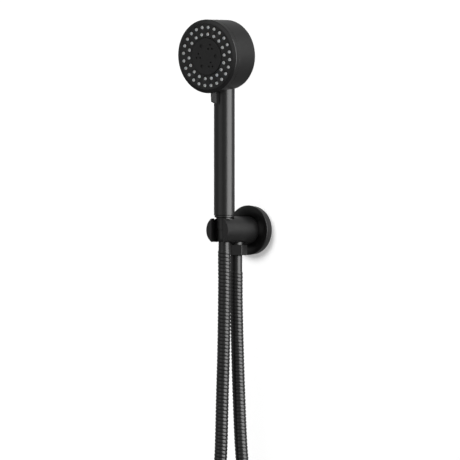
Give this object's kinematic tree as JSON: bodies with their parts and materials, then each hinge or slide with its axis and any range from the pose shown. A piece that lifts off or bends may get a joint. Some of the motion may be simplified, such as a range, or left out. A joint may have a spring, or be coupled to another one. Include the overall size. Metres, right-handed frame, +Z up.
{
  "type": "handheld shower head",
  "caption": "Round drum hand shower on a straight tube handle, docked in a cylindrical wall outlet bracket and joined to it by a ribbed metal hose.",
  "frame": {"origin": "centre of the bracket's flange on the wall plane", "axes": "-Y out of the wall along the bracket arm, +Z up along the docked handset, +X to the right for someone who faces the wall"},
  "size_m": [0.1294, 0.0877, 0.8345],
  "materials": {
    "painted_metal_black": "matt black powder coat",
    "matt_plastic": "fine satin moulded",
    "face_plastic": "satin moulded",
    "silicone_grey": "soft matt",
    "rubber_black": "matt",
    "brass": "machined",
    "spring_steel": "bright",
    "hose_metal": "satin black plated, wound"
  },
  "bodies": {
    "wall_bracket": {"wall_flange": "painted_metal_black", "arm_body": "painted_metal_black", "holder_liner": "matt_plastic", "wall_inlet": "brass", "inlet_washer": "rubber_black", "wall_gasket": "rubber_black", "grub_screw": "spring_steel", "outlet_nipple": "brass", "hex_nut": "painted_metal_black", "hose_washer": "rubber_black", "hose_insert_wall": "brass", "hose_ferrule_wall": "painted_metal_black", "check_valve_body": "matt_plastic", "check_valve_spring": "spring_steel", "shower_hose": "hose_metal"},
    "valve_poppet": {"check_valve_poppet": "matt_plastic"},
    "hose_end": {"cone_nut": "painted_metal_black", "swivel_core": "brass", "tail_washer": "rubber_black", "hose_ferrule_front": "painted_metal_black"},
    "handset": {"handle_tube": "painted_metal_black", "handle_tail": "painted_metal_black", "water_tube": "matt_plastic", "flow_limiter": "rubber_black", "head_housing": "painted_metal_black", "spray_plate": "face_plastic", "nozzle_mat": "silicone_grey", "centre_disc": "face_plastic", "manifold": "matt_plastic", "diverter_seat": "matt_plastic", "centre_screw": "spring_steel", "detent_ball": "spring_steel", "detent_spring": "spring_steel", "rotor_seal": "rubber_black"},
    "selector": {"selector_ring": "painted_metal_black", "diverter_rotor": "matt_plastic"}
  },
  "joints": [
    {"name": "lift_out", "type": "slide", "parent": "wall_bracket", "child": "hose_end", "axis": [0, 0, 1], "range_m": [0, 0.045]},
    {"name": "handset_swivel", "type": "hinge", "parent": "hose_end", "child": "handset", "pos_m": [0, -0.0522, 0], "axis": [0, 0, 1], "continuous": true},
    {"name": "spray_select", "type": "hinge", "parent": "handset", "child": "selector", "pos_m": [0, -0.085, 0.1958], "axis": [0, -0.9982, -0.0593], "range_deg": [-25, 25]},
    {"name": "valve_open", "type": "slide", "parent": "wall_bracket", "child": "valve_poppet", "axis": [0, 0, -1], "range_m": [0, 0.0015], "stiffness_N_per_m": 60, "springref_m": -0.002, "deforming": ["check_valve_spring"]}
  ]
}
